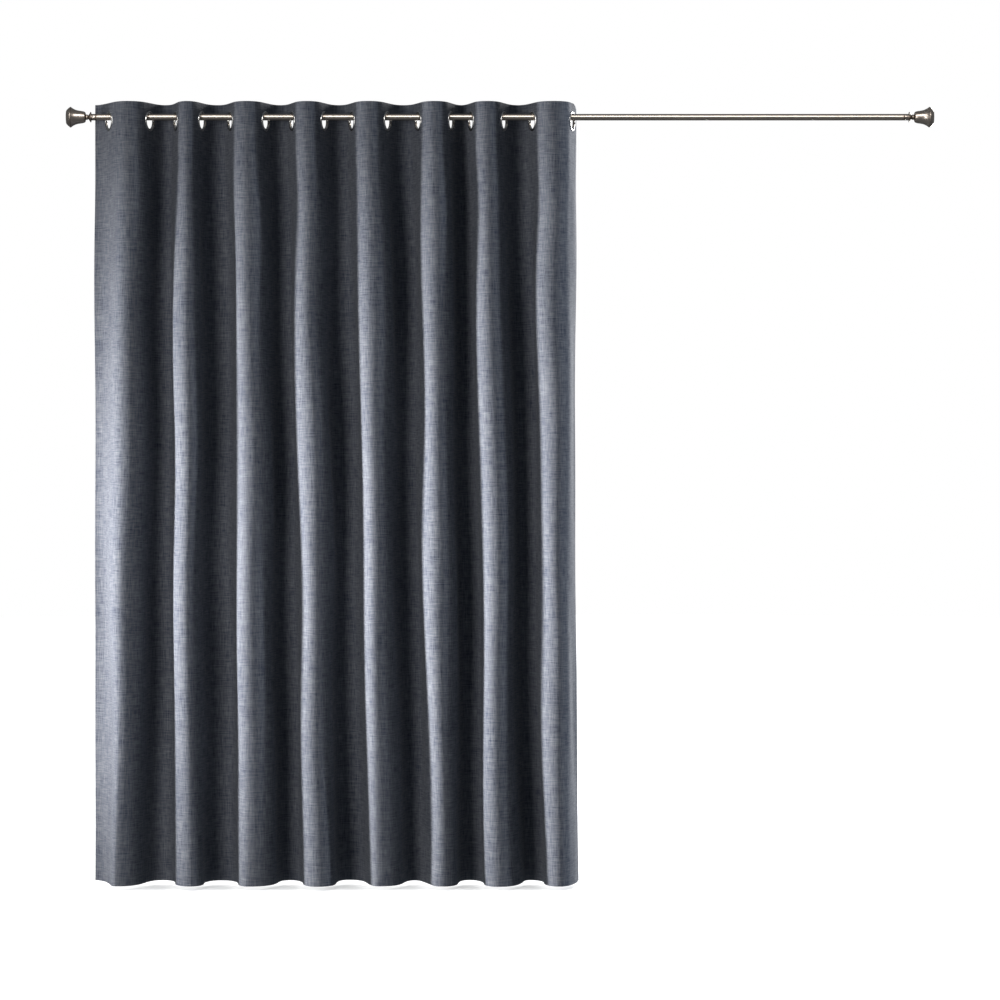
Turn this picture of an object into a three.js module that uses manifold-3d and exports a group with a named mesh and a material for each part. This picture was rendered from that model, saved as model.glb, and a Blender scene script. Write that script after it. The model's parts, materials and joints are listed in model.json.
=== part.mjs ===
// Grommet curtain on a decorative rod, in millimetres.
// X runs along the rod, -Y is the room side of the cloth, +Z is up.
// The origin is on the rod's axis, half way between the two finial collars.
// The cloth is one wide panel. It is drawn as sixteen upright strips, one on each grommet, because the
// folds open and close along the upright crest lines where two strips meet.

import * as THREE from "three";
import { mergeVertices } from "three/addons/utils/BufferGeometryUtils.js";
import Module from "manifold-3d";

const wasm = await Module();
wasm.setup();

// Driving dimensions: rod
const ROD_DIAMETER = 17.8;
const ROD_WALL = 1.0;
const COLLAR_SPAN = 2236; // between the two collar faces, ferrules included

// Driving dimensions: rod ends
const FERRULE_LENGTH = 12;
const SPIGOT_LENGTH = 28;
const STUD_DIAMETER = 6;
const STUD_REACH = 30; // each way from the collar face
const SCREW_DIAMETER = 4;
const COLLAR_DIAMETER = 28.6;
const COLLAR_HEIGHT = 8.2;
const BELL_LENGTH = 59.1;
const BELL_LIP_DIAMETER = 56.4;

// Driving dimensions: curtain
const DROP = 2134;
const CLOTH_THICKNESS = 2;
const FOLD_DEPTH = 62; // from the rod's axis to the middle of the cloth at a crest
const FOLD_WIDTHS = [110.2, 73, 69.7, 79.3, 94.9, 74.1, 86.2, 77.1, 95.7, 85.6, 88.1, 56.9, 88.1, 79.3, 106.7];
const FIRST_GROMMET = 49.2; // from the left collar face
const LEFT_EDGE_RUN = 40.2; // from the first grommet to the left side hem
const RIGHT_EDGE_RUN = 13; // from the last grommet to the right side hem
const GROMMET_TO_TOP = 49.6; // from a grommet's centre to the top edge of the cloth

// Driving dimensions: grommets
const GROMMET_BORE = 41.3;
const GROMMET_DIAMETER = 55;
const BARREL_WALL = 1.3;
const BARREL_TAIL = 0.6; // how far the barrel passes the washer
const BARREL_FLARE = 0.7; // how far the bore opens at the barrel's end
const FACE_RISE = 2.3; // height of the domed face above the cloth
const WASHER_THICKNESS = 1.5;
const WASHER_INSET = 1; // how far the washer's rim stays inside the face's rim

// Clearances
const GAP = 0.3; // between pieces that touch
const HANG_GAP = 0.8; // between the rod's top and a grommet's bore
const CREST_GAP = 0.84; // between two strips of cloth at a crest

// How steeply the cloth stands at a grommet. A steeper cloth runs straighter between its crests.
const LEAN_FACTOR = 1.95;
const FIRST_LEAN = THREE.MathUtils.degToRad(63);
const STRAIGHT_RUN = GROMMET_DIAMETER / 2 - 2; // flat stretch each way from a grommet's centre

// Facets
const RING_FACETS = 20;
const ROD_FACETS = 32;
const BEND_STEPS = 5;

const rodRadius = ROD_DIAMETER / 2;
const boreRadius = GROMMET_BORE / 2;
const barrelRadius = boreRadius + BARREL_WALL;
const grommetHeight = rodRadius + HANG_GAP - boreRadius; // of a grommet's centre over the rod's axis
const clothTop = grommetHeight + GROMMET_TO_TOP;
const collarFace = COLLAR_SPAN / 2;

const pewter = { color: 0x8c8279, roughness: 0.34, metalness: 1 };
const nickel = { color: 0xb9b6b2, roughness: 0.26, metalness: 1 };
const steel = { color: 0x6f6c69, roughness: 0.4, metalness: 1 };
const slateCloth = { color: 0x454a55, roughness: 0.92, metalness: 0 };

const curtainOnRod = new THREE.Group();

function addPiece(name, geometry, finish) {
  const piece = new THREE.Mesh(geometry, new THREE.MeshStandardMaterial(finish));
  piece.name = name;
  curtainOnRod.add(piece);
}

function toSolid(geometry) {
  const bare = geometry.clone();
  bare.deleteAttribute("normal");
  bare.deleteAttribute("uv");
  const welded = mergeVertices(bare, 1e-4);
  const mesh = new wasm.Mesh({
    numProp: 3,
    vertProperties: new Float32Array(welded.attributes.position.array),
    triVerts: new Uint32Array(welded.index.array),
  });
  return new wasm.Manifold(mesh);
}

function toGeometry(solid) {
  const mesh = solid.getMesh();
  const geometry = new THREE.BufferGeometry();
  geometry.setAttribute("position", new THREE.BufferAttribute(mesh.vertProperties, 3));
  geometry.setIndex(new THREE.BufferAttribute(mesh.triVerts, 1));
  geometry.computeVertexNormals();
  return geometry;
}

// A turned piece about the Y axis. The outline lists [radius, height] points anticlockwise on the page.
function turned(outline, facets) {
  const points = outline.map(([radius, height]) => new THREE.Vector2(radius, height));
  return new THREE.LatheGeometry(points, facets);
}

// A round bar along Y between two heights.
function bar(radius, from, to, facets) {
  return new THREE.CylinderGeometry(radius, radius, to - from, facets).translate(0, (from + to) / 2, 0);
}

// Where each grommet hangs, and how the cloth stands there

const grommetX = [FIRST_GROMMET - collarFace];
for (const width of FOLD_WIDTHS) {
  grommetX.push(grommetX.at(-1) + width);
}

function strip(index) {
  const runBefore = index === 0 ? LEFT_EDGE_RUN : FOLD_WIDTHS[index - 1] / 2 - CREST_GAP / 2;
  const runAfter = index === FOLD_WIDTHS.length ? RIGHT_EDGE_RUN : FOLD_WIDTHS[index] / 2 - CREST_GAP / 2;
  const meanRun = (runBefore + runAfter) / 2;
  const lean = index === 0 ? FIRST_LEAN : Math.atan((LEAN_FACTOR * FOLD_DEPTH) / meanRun);
  const towardsRoom = index % 2 === 0; // the cloth comes forward from left to right on every other strip
  return { x: grommetX[index], runBefore, runAfter, lean, towardsRoom };
}

// Half of a strip's middle line, outwards from the grommet at [0, 0] to a crest at [run, FOLD_DEPTH].
// It leaves straight along the lean and bends over into the crest.
function halfLine(run, lean) {
  const straightEnd = new THREE.Vector2(Math.cos(lean), Math.sin(lean)).multiplyScalar(STRAIGHT_RUN);
  const crest = new THREE.Vector2(run, FOLD_DEPTH);
  const reach = FOLD_DEPTH / Math.tan(lean);
  const bendsAlongRod = reach < run;
  const corner = bendsAlongRod
    ? new THREE.Vector2(reach, FOLD_DEPTH)
    : new THREE.Vector2(run, run * Math.tan(lean));
  const bend = new THREE.QuadraticBezierCurve(straightEnd, corner, crest);
  return Array.from({ length: BEND_STEPS + 1 }, (_, i) => ({
    point: bend.getPoint(i / BEND_STEPS),
    along: bend.getTangent(i / BEND_STEPS),
  }));
}

// The whole middle line from the left crest to the right one, with its direction at each point
function stripLine({ x, runBefore, runAfter, lean, towardsRoom }) {
  const side = towardsRoom ? 1 : -1; // +1 where the left crest is at the back
  const place = (half, outwards) =>
    half.map(({ point, along }) => ({
      point: new THREE.Vector2(x + outwards * point.x, -side * outwards * point.y),
      along: new THREE.Vector2(along.x, -side * along.y),
    }));
  return [...place(halfLine(runBefore, lean).reverse(), -1), ...place(halfLine(runAfter, lean), 1)];
}

// A section of the cloth with half of its thickness on each side of a middle line
function clothSection(line) {
  const offset = ({ point, along }, distance) =>
    new THREE.Vector2(-along.y, along.x).multiplyScalar(distance).add(point);
  const roomSide = line.map((spot) => offset(spot, -CLOTH_THICKNESS / 2));
  const wallSide = line.map((spot) => offset(spot, CLOTH_THICKNESS / 2));
  return new THREE.Shape([...roomSide, ...wallSide.reverse()]);
}

// Stands a piece turned about Y in a grommet's place, with +Y on the room side of the cloth
function hangOnRod(geometry, { x, lean, towardsRoom }) {
  return geometry
    .rotateZ(Math.PI + (towardsRoom ? -lean : lean))
    .translate(x, 0, grommetHeight);
}

function clothStrip(place) {
  const cloth = new THREE.ExtrudeGeometry(clothSection(stripLine(place)), {
    depth: DROP,
    bevelEnabled: false,
  }).translate(0, 0, clothTop - DROP);
  const punch = hangOnRod(bar(barrelRadius + GAP, -FOLD_DEPTH / 4, FOLD_DEPTH / 4, RING_FACETS), place);
  return toGeometry(toSolid(cloth).subtract(toSolid(punch)));
}

const faceSeat = CLOTH_THICKNESS / 2 + GAP;
const washerBack = -faceSeat - WASHER_THICKNESS;
const barrelEnd = washerBack - BARREL_TAIL;

function grommetFace() {
  const rimRadius = GROMMET_DIAMETER / 2;
  const crownRadius = (boreRadius + rimRadius) / 2;
  return turned(
    [
      [boreRadius + BARREL_FLARE, barrelEnd],
      [barrelRadius, barrelEnd],
      [barrelRadius, faceSeat],
      [rimRadius, faceSeat],
      [rimRadius - FACE_RISE * 0.3, faceSeat + FACE_RISE * 0.7],
      [crownRadius, faceSeat + FACE_RISE],
      [boreRadius + FACE_RISE * 0.3, faceSeat + FACE_RISE * 0.7],
      [boreRadius, CLOTH_THICKNESS / 2],
      [boreRadius, -CLOTH_THICKNESS / 2],
      [boreRadius + BARREL_FLARE, barrelEnd],
    ],
    RING_FACETS,
  );
}

function grommetWasher() {
  const inner = barrelRadius + GAP;
  const outer = GROMMET_DIAMETER / 2 - WASHER_INSET;
  return turned(
    [
      [inner, washerBack],
      [outer - WASHER_THICKNESS * 0.6, washerBack],
      [outer, -faceSeat],
      [inner, -faceSeat],
      [inner, washerBack],
    ],
    RING_FACETS,
  );
}

// Rod ends, drawn on the right: +Y in a turned piece is outwards along the rod, 0 is the collar face

const studRadius = STUD_DIAMETER / 2;
const studBore = studRadius + GAP;
const tubeBore = rodRadius - ROD_WALL;
const boreEnd = STUD_REACH + 2; // the stud's blind bores run this far each way from the collar face
const ferruleInner = -FERRULE_LENGTH - SPIGOT_LENGTH;

function rodTube() {
  const end = collarFace - FERRULE_LENGTH - GAP;
  return turned(
    [
      [tubeBore, -end],
      [rodRadius, -end],
      [rodRadius, end],
      [tubeBore, end],
      [tubeBore, -end],
    ],
    ROD_FACETS,
  ).rotateZ(-Math.PI / 2);
}

function ferrule() {
  const spigotRadius = tubeBore - GAP;
  const body = toSolid(
    turned(
      [
        [0, ferruleInner],
        [spigotRadius - 1, ferruleInner],
        [spigotRadius, ferruleInner + 1],
        [spigotRadius, -FERRULE_LENGTH],
        [rodRadius, -FERRULE_LENGTH],
        [rodRadius, 0],
        [studBore, 0],
        [studBore, -boreEnd],
        [0, -boreEnd],
      ],
      ROD_FACETS,
    ),
  );
  const screwBore = bar(SCREW_DIAMETER / 2 + GAP, 0, ROD_DIAMETER, RING_FACETS)
    .rotateX(-Math.PI / 2)
    .translate(0, -FERRULE_LENGTH / 2, 0);
  return toGeometry(body.subtract(toSolid(screwBore)));
}

function setScrew() {
  const socketRadius = SCREW_DIAMETER * 0.27;
  const tip = studRadius + GAP;
  const head = rodRadius - GAP;
  return turned(
    [
      [0, tip],
      [SCREW_DIAMETER / 2, tip],
      [SCREW_DIAMETER / 2, head],
      [socketRadius, head],
      [socketRadius, head - SCREW_DIAMETER / 2],
      [0, head - SCREW_DIAMETER / 2],
    ],
    6,
  )
    .rotateX(-Math.PI / 2)
    .translate(0, -FERRULE_LENGTH / 2, 0);
}

function collar() {
  const rim = COLLAR_DIAMETER / 2;
  return turned(
    [
      [studBore, GAP],
      [rim, GAP],
      [rim, GAP + 0.9],
      [rim * 0.62, COLLAR_HEIGHT * 0.5],
      [rim * 0.34, COLLAR_HEIGHT],
      [studBore, COLLAR_HEIGHT],
      [studBore, GAP],
    ],
    ROD_FACETS,
  );
}

// The bell starts with a small round neck, swells to a shoulder, flares to its lip and closes on a flat face
function bell() {
  const from = COLLAR_HEIGHT + GAP;
  const lip = BELL_LIP_DIAMETER / 2;
  const at = (share) => from + BELL_LENGTH * share;
  return turned(
    [
      [studBore, from],
      [lip * 0.2, from],
      [lip * 0.27, at(0.05)],
      [lip * 0.22, at(0.105)],
      [lip * 0.42, at(0.115)],
      [lip * 0.53, at(0.165)],
      [lip * 0.585, at(0.25)],
      [lip * 0.63, at(0.4)],
      [lip * 0.7, at(0.55)],
      [lip * 0.81, at(0.67)],
      [lip * 0.94, at(0.77)],
      [lip, at(0.81)],
      [lip * 0.98, at(0.84)],
      [lip * 0.66, at(1)],
      [0, at(1)],
      [0, boreEnd],
      [studBore, boreEnd],
      [studBore, from],
    ],
    ROD_FACETS,
  );
}

// Puts a rod end's piece on its side of the rod: +1 is the right end, -1 the left
function onRodEnd(geometry, side) {
  return geometry.rotateZ((-side * Math.PI) / 2).translate(side * collarFace, 0, 0);
}

addPiece("rod_tube", rodTube(), pewter);

for (const [end, side] of [["left", -1], ["right", 1]]) {
  addPiece(`ferrule_${end}`, onRodEnd(ferrule(), side), pewter);
  addPiece(`set_screw_${end}`, onRodEnd(setScrew(), side), steel);
  addPiece(`finial_stud_${end}`, onRodEnd(bar(studRadius, -STUD_REACH, STUD_REACH, RING_FACETS), side), steel);
  addPiece(`finial_collar_${end}`, onRodEnd(collar(), side), pewter);
  addPiece(`finial_bell_${end}`, onRodEnd(bell(), side), pewter);
}

grommetX.forEach((_, index) => {
  const place = strip(index);
  const number = String(index + 1).padStart(2, "0");
  addPiece(`cloth_strip_${number}`, clothStrip(place), slateCloth);
  addPiece(`grommet_face_${number}`, hangOnRod(grommetFace(), place), nickel);
  addPiece(`grommet_washer_${number}`, hangOnRod(grommetWasher(), place), nickel);
});

export default curtainOnRod;
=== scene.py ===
import json
import math

import bpy
import numpy as np
from bpy.props import FloatProperty, FloatVectorProperty, IntProperty, PointerProperty
from mathutils import Matrix, Vector

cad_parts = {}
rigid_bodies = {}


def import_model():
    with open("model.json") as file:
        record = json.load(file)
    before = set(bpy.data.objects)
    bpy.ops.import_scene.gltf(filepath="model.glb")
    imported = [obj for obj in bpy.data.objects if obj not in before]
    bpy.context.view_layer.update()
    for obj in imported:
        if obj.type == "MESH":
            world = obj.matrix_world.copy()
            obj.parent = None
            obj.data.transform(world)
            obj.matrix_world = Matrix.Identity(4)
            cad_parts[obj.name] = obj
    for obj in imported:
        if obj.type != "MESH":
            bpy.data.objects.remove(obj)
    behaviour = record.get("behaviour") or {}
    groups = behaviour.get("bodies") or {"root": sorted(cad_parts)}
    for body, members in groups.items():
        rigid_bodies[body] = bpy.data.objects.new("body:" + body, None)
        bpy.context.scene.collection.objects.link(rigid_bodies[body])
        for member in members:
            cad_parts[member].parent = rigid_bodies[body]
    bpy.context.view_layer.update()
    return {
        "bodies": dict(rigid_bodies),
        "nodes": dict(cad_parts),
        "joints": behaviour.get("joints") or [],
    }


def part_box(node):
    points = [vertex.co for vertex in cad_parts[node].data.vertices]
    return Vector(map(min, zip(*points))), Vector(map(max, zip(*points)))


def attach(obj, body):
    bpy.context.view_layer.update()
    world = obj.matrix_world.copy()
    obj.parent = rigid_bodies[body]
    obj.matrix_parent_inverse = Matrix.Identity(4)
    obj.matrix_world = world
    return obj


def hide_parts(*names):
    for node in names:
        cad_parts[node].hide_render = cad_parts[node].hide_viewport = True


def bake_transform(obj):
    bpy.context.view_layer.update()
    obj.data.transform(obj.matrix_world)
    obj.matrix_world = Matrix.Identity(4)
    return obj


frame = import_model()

bl_info = {
    "name": "Grommet Curtain on a Rod",
    "version": (1, 0, 0),
    "blender": (4, 5, 0),
    "location": "View3D > Sidebar > Curtain",
    "description": "Dresses a grommet curtain and its rod in cloth, thread and satin metal",
    "category": "Object",
}

# What the frame gives, in metres. X runs along the rod, -Y is the room, +Z is up.

JOINTS = {joint["name"]: joint for joint in frame["joints"]}
PANELS = sorted(name for name in frame["bodies"] if name.startswith("panel_"))
CRESTS = [Vector(JOINTS[f"fold_{i:02d}"]["pos_m"]) for i in range(1, len(PANELS))]


def grommet_places():
    """Where each grommet hangs along the rod: a crest lies half way between two grommets."""
    places = [JOINTS["draw"]["pos_m"][0]]
    for crest in CRESTS:
        places.append(2 * crest.x - places[-1])
    return places


def plane_normal(node):
    """The direction in which a flat CAD node is thinnest, towards the room."""
    points = np.array([v.co for v in frame["nodes"][node].data.vertices])
    direction = np.linalg.svd(points - points.mean(0), full_matrices=False)[2][-1]
    return Vector(direction if direction[1] < 0 else -direction)


GROMMET_X = grommet_places()
NUMBERS = [name[-2:] for name in PANELS]
GROMMET_NORMALS = [plane_normal(f"grommet_washer_{n}") for n in NUMBERS]
# Each grommet's angle from the rod, and whether its cloth comes towards the room from left to right
LEANS = [math.acos(min(1, abs(n.y))) for n in GROMMET_NORMALS]
TOWARDS_ROOM = [n.x < 0 for n in GROMMET_NORMALS]

FACE_LOW, FACE_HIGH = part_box("grommet_face_01")
GROMMET_Z = (FACE_LOW.z + FACE_HIGH.z) / 2
GROMMET_RADIUS = (FACE_HIGH.z - FACE_LOW.z) / 2
WASHER_LOW, WASHER_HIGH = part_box("grommet_washer_01")
WASHER_RADIUS = (WASHER_HIGH.z - WASHER_LOW.z) / 2
FIRST_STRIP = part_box(f"cloth_strip_{NUMBERS[0]}")
LAST_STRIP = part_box(f"cloth_strip_{NUMBERS[-1]}")
TOP_Z = FIRST_STRIP[1].z
HEM_Z = FIRST_STRIP[0].z
DROP = TOP_Z - HEM_Z
FOLD_DEPTH = abs(CRESTS[0].y)
# The cloth's side edges, to the left of the first and the last strip's own
LEFT_EDGE_SHIFT = 0.005
RIGHT_EDGE_SHIFT = 0.001
LEFT_EDGE_X = FIRST_STRIP[0].x - LEFT_EDGE_SHIFT
RIGHT_EDGE_X = LAST_STRIP[1].x - RIGHT_EDGE_SHIFT
TUBE_LOW, TUBE_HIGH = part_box("rod_tube")
ROD_RADIUS = (TUBE_HIGH.z - TUBE_LOW.z) / 2

# How the folds fall away from straight towards the hem, in millimetres to the right
CREST_SWAY_MM = (-26, -5, 3, 16, 11, 30, 22, 26, 32, 34, 14, 27, 34, 30, 14)
# Grommet lines that stand further to the right below the header than the grommet, in millimetres
SEAM_SHIFT_MM = {4: 8, 5: 8, 7: 9, 8: 12, 9: 10, 11: 3, 12: 6, 13: 10, 14: 6}
# How steeply the cloth stands at each grommet line below the header, in degrees; over 90 overhangs
BODY_LEANS = (70, 78, 93, 80, 79, 80, 91, 80, 80, 79, 82, 80, 84, 78, 92, 78)


# Settings


def metres(name, description, default):
    return FloatProperty(name=name, description=description, default=default, unit="LENGTH")


def watts(name, light, default):
    return FloatProperty(name=name, description=f"Power of the {light}, in watts", default=default)


def tint(name, description, default):
    return FloatVectorProperty(name=name, description=description, default=default, subtype="COLOR")


class ClothSettings(bpy.types.PropertyGroup):
    """The curtain's cloth, its lining and its sewing"""

    thickness: metres("Cloth Thickness", "Face cloth alone", 0.0011)
    lining_thickness: metres("Lining Thickness", "Lining alone", 0.0006)
    hem: metres("Bottom Hem", "Height of the bottom hem", 0.080)
    side_hem: metres("Side Hem", "Width of the side hems", 0.030)
    flare: FloatProperty(
        name="Flare",
        description="How much deeper the folds are at the hem",
        default=0.110,
        subtype="FACTOR",
    )
    crumple: metres("Crumple", "Height of the soft dents in the cloth", 0.0016)
    stitch: metres("Stitch", "Length of one stitch", 0.0034)
    deep: tint("Deep Yarn", "Darkest yarn", (0.049, 0.057, 0.083))
    pale: tint("Pale Yarn", "Palest slubs", (0.221, 0.227, 0.245))
    lining: tint("Lining", "Lining cloth", (0.060, 0.064, 0.075))


class MetalSettings(bpy.types.PropertyGroup):
    """The rod, its ends and the grommets"""

    pewter: tint("Pewter", "Rod and finials", (0.40, 0.345, 0.295))
    # Dark brown painted into grooves, waists, lips and cut edges: partly patina, partly painted shade
    patina: tint("Patina And Shade", "Dark tone left in the grooves", (0.09, 0.062, 0.042))
    nickel: tint("Nickel", "Grommets", (0.66, 0.64, 0.61))
    facets: IntProperty(
        name="Facets", description="Sides of a turned piece", default=96, min=24
    )


class StageSettings(bpy.types.PropertyGroup):
    """Camera, floor and lights"""

    distance: metres("Camera Distance", "From the rod's plane", 9.5)
    view_width: metres("View Width", "Width seen at the rod's plane", 2.735)
    eye_below_rod: metres("Eye Height", "How far the camera is below the rod", 0.8555)
    floor_gap: metres("Floor Gap", "Between the hem and the floor", 0.012)
    key_power: watts("Key Light", "light far out on the left", 49.0)
    fill_power: watts("Fill Light", "soft light in front on the left", 165.0)
    rod_power: watts("Rod Light", "strip over the rod", 360.0)
    back_power: watts("Back Light", "soft light behind", 560.0)
    room_light: FloatProperty(
        name="Room Light",
        description="Strength of the even light from all round",
        default=0.13,
    )
    rim_power: watts("Rim Light", "small light on the right", 150.0)


# Meshes

TINY = 1e-7
# Edges that turn by more than this stay crisp
SHARP_EDGE = math.radians(38)


def add_object(name, data):
    piece = bpy.data.objects.new(name, data)
    bpy.context.scene.collection.objects.link(piece)
    return piece


def add_mesh(name, points, faces, material):
    """A smooth mesh object with one material."""
    data = bpy.data.meshes.new(name)
    data.from_pydata([tuple(p) for p in points], [], [tuple(f) for f in faces])
    data.materials.append(material)
    data.polygons.foreach_set("use_smooth", [True] * len(data.polygons))
    data.validate()
    data.update()
    return add_object(name, data)


def turned(name, outline, facets, material, place):
    """A closed turned piece, stood up by place, from (radius, height, patina and painted shade)
    anticlockwise.
    """
    radii, heights, patina = np.array(outline, float).T
    angles = np.linspace(0, 2 * math.pi, facets, endpoint=False)
    rings = [
        np.column_stack([r * np.cos(angles), r * np.sin(angles), np.full(facets, h)])
        for r, h in zip(radii, heights)
    ]
    points = np.concatenate(rings)
    count = len(outline)
    on_axis = radii < TINY
    faces = []
    ring_shaped = not (on_axis[0] and on_axis[-1])
    for i in range(count if ring_shaped else count - 1):
        k = (i + 1) % count
        for s in range(facets):
            t = (s + 1) % facets
            corners = [i * facets + s, i * facets + t, k * facets + t, k * facets + s]
            if on_axis[i]:
                corners = [i * facets, k * facets + t, k * facets + s]
            elif on_axis[k]:
                corners = [i * facets + s, i * facets + t, k * facets]
            faces.append(corners)
    used, renumbered = np.unique([c for f in faces for c in f], return_inverse=True)
    sizes = np.cumsum([0] + [len(f) for f in faces])
    faces = [renumbered[a:b] for a, b in zip(sizes, sizes[1:])]
    piece = add_mesh(name, points[used], faces, material)
    # Each point's share of patina and painted shade, darkest in grooves, at waists and at cut edges
    tone = piece.data.attributes.new("patina", "FLOAT", "POINT")
    tone.data.foreach_set("value", np.repeat(patina, facets)[used].astype(np.float32))
    piece.data.set_sharp_from_angle(angle=SHARP_EDGE)
    piece.data.transform(place)
    return piece


def swept(points, steps=6):
    """A smooth run of (radius, height, patina and painted shade) points through the given ones."""
    points = np.array(points, float)
    padded = np.vstack([2 * points[0] - points[1], points, 2 * points[-1] - points[-2]])
    run = []
    for a, b, c, d in zip(padded, padded[1:], padded[2:], padded[3:]):
        square, cube = 2 * a - 5 * b + 4 * c - d, 3 * b - a - 3 * c + d
        for t in np.arange(steps) / steps:
            run.append(0.5 * (2 * b + (c - a) * t + square * t * t + cube * t**3))
    return [tuple(p) for p in run] + [tuple(points[-1])]


# The cloth, as one grid of points over its whole width and drop. It is cut at the grommet lines.

HALF_FOLD_STEPS = 16
# Below this the cloth is free of the rings
HEADER_END_Z = GROMMET_Z - (GROMMET_RADIUS + 0.004)
CLOTH_FRONT = 0.0010
HOLE_RADIUS = 0.0228
# Heights of the grid's rows in the header and below it, and of the step at the top of the hem
HEADER_ROW = 0.0037
BODY_ROW = 0.0088
HEM_STEP = 0.0006
# Where the folds begin to sway, below the top edge, and how the sway grows
SWAY_START = 0.10
SWAY_POWER = 1.25
# How far below the rings the folds become fully soft
SOFTENING = 0.37
# How much of the flare comes and goes down the drop
FLARE_WAVE = 0.25
# How far a crest wanders to and fro on its way to the hem
CREST_WANDER = 0.004
# How the cloth runs out at its left and right edges
LEFT_END_LEAN = math.radians(20)
RIGHT_END_LEAN = math.radians(60)
# How far the cloth stays straight past a grommet's centre, short of the ring's radius
STRAIGHT_SHORT = 0.002
# Where a soft half fold's curve handles are, as shares of its depth and of its run
FLANK_SHARE = 0.50
CROWN_SHARE = 0.66
DENT_COUNT = 26
DENT_HEIGHT = 22
# The dents grow over this height below the header
DENT_GROWTH = 0.25
# How far the free corner droops, the share of its half fold that stays up, and the height it fades in
CORNER_DROOP = 0.013
DROOP_START = 0.2
DROOP_HEIGHT = 0.45
# A grid point closer than this to a grommet's axis is pushed upwards out of the hole
ON_AXIS = 1e-5


def heading(angle):
    return np.array([math.cos(angle), math.sin(angle)])


def smooth_step(low, high, value):
    share = np.clip((value - low) / (high - low), 0, 1)
    return share * share * (3 - 2 * share)


def sway_share(z):
    """0 at the header and 1 at the hem, growing almost evenly."""
    return float(np.clip((TOP_Z - SWAY_START - z) / (DROP - SWAY_START), 0, 1) ** SWAY_POWER)


def seam_sway(index):
    """How far a grommet line leans to the right at the hem."""
    if index in (0, len(GROMMET_X) - 1):
        return 0.0
    return (CREST_SWAY_MM[index - 1] + CREST_SWAY_MM[index]) / 2000


def evenly_spaced(curve, count):
    """The same curve with its points spread evenly along it."""
    lengths = np.concatenate([[0], np.cumsum(np.hypot(*np.diff(curve, axis=0).T))])
    at = np.linspace(0, lengths[-1], count + 1)
    return np.column_stack([np.interp(at, lengths, values) for values in curve.T])


def bezier(corners, steps=32):
    t = np.linspace(0, 1, steps + 1)[:, None]
    degree = len(corners) - 1
    shares = [math.comb(degree, i) * (1 - t) ** (degree - i) * t**i for i in range(degree + 1)]
    return sum(share * np.array(corner, float) for share, corner in zip(shares, corners))


def header_half(run, depth, lean):
    """Straight from the grommet's centre to past its rim, then bent over into the crest."""
    start = heading(lean) * (GROMMET_RADIUS - STRAIGHT_SHORT)
    reach = depth / math.tan(lean)
    corner = (reach, depth) if reach < run else (run, run * math.tan(lean))
    return np.vstack([[0, 0], bezier([start, corner, (run, depth)])])


def body_half(run, depth, lean, end_lean):
    """A soft half fold below the header, from the grommet line to the crest."""
    start = heading(lean) * (FLANK_SHARE * depth)
    end = np.array([run, depth]) - heading(end_lean) * (CROWN_SHARE * run)
    return bezier([(0, 0), start, end, (run, depth)])


def crest_place(crest, share):
    """Where a crest, or a side edge, is along the rod at one share of the sway."""
    if crest < 0:
        return LEFT_EDGE_X
    if crest >= len(CRESTS):
        return RIGHT_EDGE_X
    wander = CREST_WANDER * math.sin(4.1 * share + 1.7 * crest) * share
    return CRESTS[crest].x + CREST_SWAY_MM[crest] / 1000 * share + wander


def half_fold(z, index, crest, outwards, flare):
    """One half fold's points at one height, from the grommet line outwards."""
    share = sway_share(z)
    soft = float(smooth_step(0, SOFTENING, HEADER_END_Z - z))
    seam_x = GROMMET_X[index] + seam_sway(index) * share + SEAM_SHIFT_MM.get(index, 0) / 1000 * soft
    run = (crest_place(crest, share) - seam_x) * outwards
    header = evenly_spaced(header_half(run, FOLD_DEPTH, LEANS[index]), HALF_FOLD_STEPS)
    wave = 1 - FLARE_WAVE + FLARE_WAVE * math.sin(5.2 * share + 2.3 * crest)
    depth = FOLD_DEPTH * (1 + flare * share * wave)
    end_lean = {-1: LEFT_END_LEAN, len(CRESTS): RIGHT_END_LEAN}.get(crest, 0.0)
    body_lean = math.radians(BODY_LEANS[index])
    body = evenly_spaced(body_half(run, depth, body_lean, end_lean), HALF_FOLD_STEPS)
    curve = header * (1 - soft) + body * soft
    side = 1 if TOWARDS_ROOM[index] else -1
    return np.column_stack([seam_x + outwards * curve[:, 0], -side * outwards * curve[:, 1]])


def cloth_heights(hem):
    """Heights of the grid's rows, close together in the header, with a step at the hem's top."""
    header = np.arange(TOP_Z, HEADER_END_Z, -HEADER_ROW)
    hem_top = HEM_Z + hem
    body = np.linspace(header[-1], hem_top + HEM_STEP, round((header[-1] - hem_top) / BODY_ROW))
    in_hem = np.linspace(hem_top - HEM_STEP, HEM_Z, round(hem / BODY_ROW) + 1)
    return np.concatenate([header, body[1:], in_hem])


def soft_dents(arc, heights, size):
    """Low dents and long creases over the cloth, as a height at each grid point."""
    u, z = np.meshgrid(arc, heights)
    draw = np.random.default_rng(7)
    dents = np.zeros_like(u)
    for _ in range(DENT_COUNT):
        across = draw.uniform(12, 80)
        down = draw.uniform(-8, 8)
        phase = draw.uniform(0, 2 * math.pi)
        patch = np.sin(draw.uniform(2, 6) * z + draw.uniform(4, 14) * u + draw.uniform(0, 6.3))
        dents += np.sin(across * u + down * z + phase) * (0.5 + 0.5 * patch) / across
    return dents * DENT_HEIGHT * size * smooth_step(0, DENT_GROWTH, HEADER_END_Z - z)


def grid_normals(points):
    """Unit normals on the room side of the cloth."""
    normals = np.cross(np.gradient(points, axis=0), np.gradient(points, axis=1))
    normals /= np.linalg.norm(normals, axis=2, keepdims=True)
    first_crest = 2 * HALF_FOLD_STEPS
    return normals if normals[0, first_crest, 1] < 0 else -normals


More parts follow.
